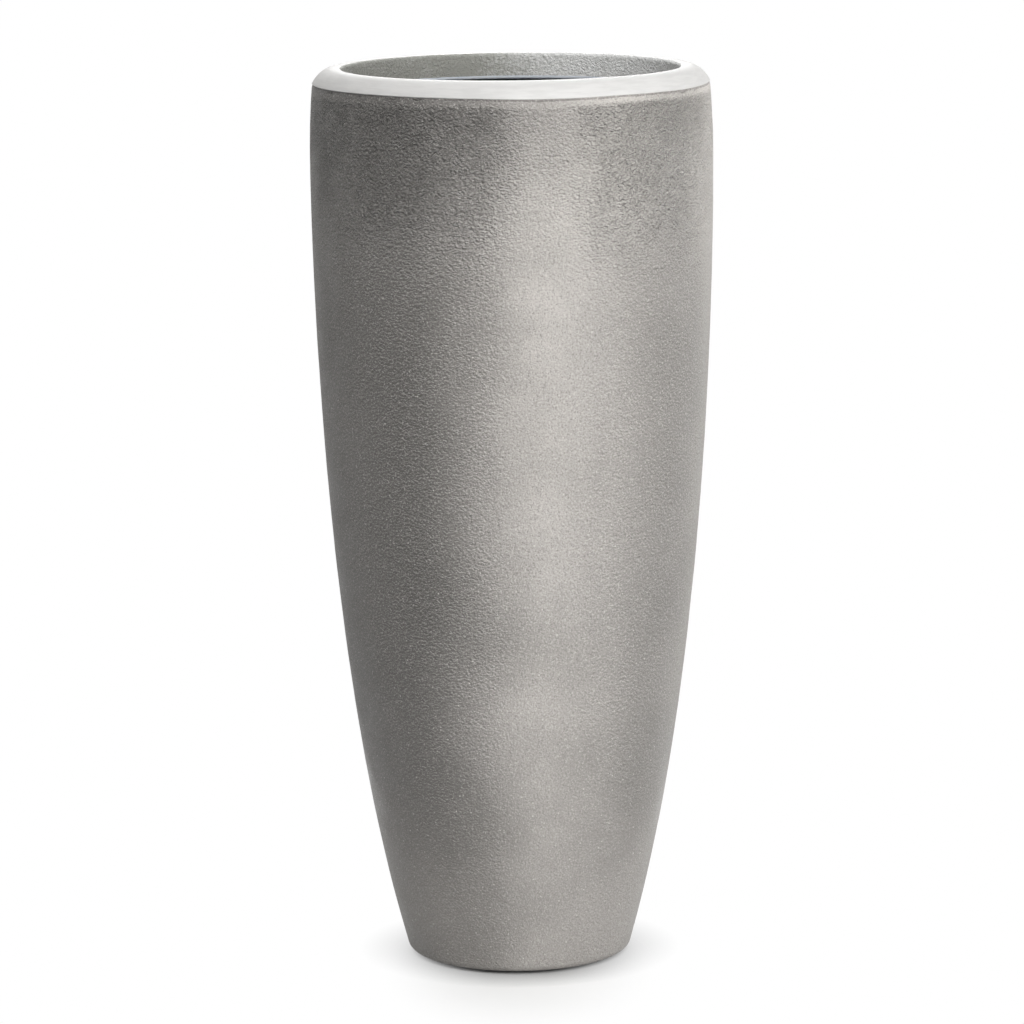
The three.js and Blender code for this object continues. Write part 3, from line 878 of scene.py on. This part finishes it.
def plugProfile():
    panel = s["standoff"] + s["footRecess"]
    seat = panel + s["baseThickness"]
    slope = s["drainTaper"] / s["baseThickness"]
    tail, size = panel - plug["tail"], plug["rounding"]
    stem = [s["drain"] - plug["clearance"] + slope * (level - panel) for level in (tail, seat)]
    foot = seat + plug["rest"]
    top = foot + plug["flange"][1]
    knobFoot = top + plug["neck"][1]
    knobTop = knobFoot + plug["knob"][1]
    neck, knob = plug["neck"][0], plug["knob"][0]
    points = [(0, tail)] + arc((stem[0] - size, tail + size), size, -90, 0, 6)
    wide = plug["flange"][0]
    points += [(stem[1], seat), (stem[1], foot), (wide - 0.4, foot), (wide, foot + 0.4)]
    points += arc((wide - size, top - size), size, 0, 90, 6)
    points += [(neck + 1.2, top), (neck + 0.35, top + 0.35), (neck, top + 1.2), (neck, knobFoot - 0.8),
               (neck + 0.25, knobFoot - 0.25), (neck + 0.8, knobFoot)]
    points += arc((knob - size, knobFoot + size), size, -90, 0, 6)
    points += arc((knob - size, knobTop - size), size, 0, 90, 6)
    points += [(4.5, knobTop), (4.1, knobTop - 0.4), (0, knobTop - 0.4)]  # the mould's gate leaves a dimple
    return zone(points, "rubber")


plugPiece = turned("drainPlug", plugProfile(), {"rubber": rubberMaterial}, 96)
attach(plugPiece, "plug")
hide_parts("drain_plug")


def padProfile():
    size, high, soft = pad["radius"], pad["height"], pad["bevel"]
    wide, deep = pad["dimple"]
    points = [(0, deep), (wide, deep), (wide + 0.5, 0)] + arc((size - soft, soft), soft, -90, 0, 4)
    return zone(points + [(size, high - 0.2), (size - 0.2, high), (0, high)], "rubber")


for index in range(pad["count"]):
    foot = turned("footPad", padProfile(), {"rubber": rubberMaterial}, 64)
    a = math.radians(45 + 360 * index / pad["count"])
    out = heelLine[0][0] - s["footRing"] / 2
    foot.data.transform(Matrix.Translation((out * math.cos(a) * mm, out * math.sin(a) * mm, 0)))
    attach(foot, "planter")
    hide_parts(f"foot_pad_{index + 1}")
print("plug and pads turned")


# the studio: a pale paper floor under soft lamps; sizes in metres
studio = {
    "floorSize": 14.0,
    "floorColour": "#F4F4F3",
    "floorBounce": "#D0D0D0",  # what the floor gives back to the planter's own walls
    "floorLift": 0.12,  # camera-only glow that takes the lit floor to white
    # the planter's shadow lies in front of it, in an oval about this point; past it the paper is white
    "shadowFrom": 0.15, "shadowTo": 1.06,
    "shadowHalf": (0.118, 0.2), "shadowCentre": (0, -0.09),
    "contactReach": 0.045,  # how far the painted contact shadow spreads over the floor
    "contactDepth": 1.5,
    "contactShadowGrey": (0.36, 0.36, 0.36, 1),
    "contactSamples": 16,
    "edgeDepth": 0.36,  # and how much of it the white paper beyond keeps
    "fill": 0.02,  # strength of the world on the object
    # name, bearing from the camera's side (degrees, to the right), height, distance, width, length, watts
    "lamps": [
        ("frontHigh", 14, 2.3, 2.4, 0.7, 1.6, 53),
        ("frontLow", 10, 0.6, 2.8, 0.7, 1.0, 5),
        ("rightLow", 60, 0.6, 2.8, 0.7, 1.0, 38),
        ("leftHigh", -72, 2.6, 1.6, 0.9, 1.2, 14),
        ("rightEdge", 130, 0.6, 2.8, 0.7, 1.0, 9),
        ("leftFoot", -130, 0.05, 0.4, 0.2, 0.06, 0.1),
        ("rightFoot", 130, 0.05, 0.4, 0.2, 0.06, 0.1),
        ("frontFoot", 8, 0.08, 0.7, 0.4, 0.12, 0.8),
        ("topFront", 0, 2.8, 1.0, 1.2, 1.2, 4),
        ("topBack", 180, 2.8, 1.2, 1.2, 1.2, 15),
        ("backSoft", 180, 2.0, 2.6, 0.5, 1.4, 22),
    ],
}


def areaLamp(name, bearing, height, distance, width, length, watts):
    data = bpy.data.lights.new(name, "AREA")
    data.shape, data.size, data.size_y, data.energy = "RECTANGLE", width, length, watts
    lamp = bpy.data.objects.new(name, data)
    a = math.radians(bearing)
    lamp.location = (distance * math.sin(a), -distance * math.cos(a), height)
    aim = Vector((0, 0, min(0.45, height))) - lamp.location  # the low ones stay level
    lamp.rotation_euler = aim.to_track_quat("-Z", "Y").to_euler()
    bpy.context.scene.collection.objects.link(lamp)


for lamp in studio["lamps"]:
    areaLamp(*lamp)

world = bpy.data.worlds.new("studioWorld")
bpy.context.scene.world = world
world.use_nodes = True
sky = world.node_tree
sky.nodes.clear()
path = add(sky, "LightPath", out="all")
seen = path["Is Camera Ray"]
for ray in ("Is Transmission Ray", "Is Glossy Ray"):
    seen = add(sky, "Math", (seen, path[ray]), operation="MAXIMUM")
strength = add(sky, "MapRange", (seen, 0.0, 1.0, studio["fill"], 1.0))
background = add(sky, "Background", {"Color": (1, 1, 1, 1), "Strength": strength})
add(sky, "OutputWorld", {"Surface": background})

floorMesh = bpy.data.meshes.new("studioFloor")
h = studio["floorSize"] / 2
floorMesh.from_pydata([(-h, -h, 0), (h, -h, 0), (h, h, 0), (-h, h, 0)], [], [(0, 1, 2, 3)])
floor = bpy.data.objects.new("studioFloor", floorMesh)
bpy.context.scene.collection.objects.link(floor)
floorMaterial, tree, where = newMaterial("paperFloor")
halfWide, halfDeep = studio["shadowHalf"]
middle = studio["shadowCentre"]
oval = add(tree, "Mapping", {
    "Vector": where, "Scale": (1 / halfWide, 1 / halfDeep, 1),
    "Location": (-middle[0] / halfWide, -middle[1] / halfDeep, 0)})
away = add(tree, "VectorMath", (oval,), operation="LENGTH")
path = add(tree, "LightPath", out="all")
seen = add(tree, "Math", (path["Is Camera Ray"], path["Is Glossy Ray"]), operation="MAXIMUM")
# painted contact shadow: ambient occlusion darkens the floor's colour and glow near the planter
openness = add(tree, "AmbientOcclusion", {"Distance": studio["contactReach"]}, "AO",
               samples=studio["contactSamples"])
contactShadow = add(tree, "Math", (openness, studio["contactDepth"]), operation="POWER")
shaded = add(tree, "Mix", (contactShadow, studio["contactShadowGrey"], srgb(studio["floorColour"])), **inColour)
paper = add(tree, "Mix", (seen, srgb(studio["floorBounce"]), shaded), **inColour)
paper = add(tree, "BsdfDiffuse", {"Color": paper})
glow = add(tree, "Math", (seen, contactShadow), operation="MULTIPLY")
glow = add(tree, "Math", (glow, studio["floorLift"]), operation="MULTIPLY")
lift = add(tree, "Emission", {"Color": (1, 1, 1, 1), "Strength": glow})
nearby = add(tree, "AddShader", (paper, lift))
# painted shadow that the white paper beyond keeps
edgeShade = add(tree, "Math", (openness, studio["edgeDepth"]), operation="POWER")
white = add(tree, "Emission", {"Color": (1, 1, 1, 1), "Strength": edgeShade})
fade = add(tree, "MapRange", (away, studio["shadowFrom"], studio["shadowTo"]), **smooth)
fade = add(tree, "Math", (fade, seen), operation="MULTIPLY")
surface = add(tree, "MixShader", (fade, nearby, white))
# from below the paper is clear, so that the underside can be looked at
under = add(tree, "NewGeometry", out="Backfacing")
surface = add(tree, "MixShader", (under, surface, add(tree, "BsdfTransparent")))
add(tree, "OutputMaterial", {"Surface": surface})
floorMesh.materials.append(floorMaterial)

# the photograph's own viewpoint, solved from the outline
view = {"place": (-0.0029, -4.2118, 1.140), "down": 9.955, "roll": -0.585, "lens": 167.75}
cameraData = bpy.data.cameras.new("camera")
cameraData.lens, cameraData.sensor_width = view["lens"], 36
camera = bpy.data.objects.new("camera", cameraData)
tilt = Matrix.Rotation(math.radians(90 - view["down"]), 4, "X")
roll = Matrix.Rotation(math.radians(view["roll"]), 4, "Z")
camera.matrix_world = Matrix.Translation(view["place"]) @ tilt @ roll
bpy.context.scene.collection.objects.link(camera)
bpy.context.scene.camera = camera
bpy.context.scene.view_settings.view_transform = "Standard"
print("studio ready")
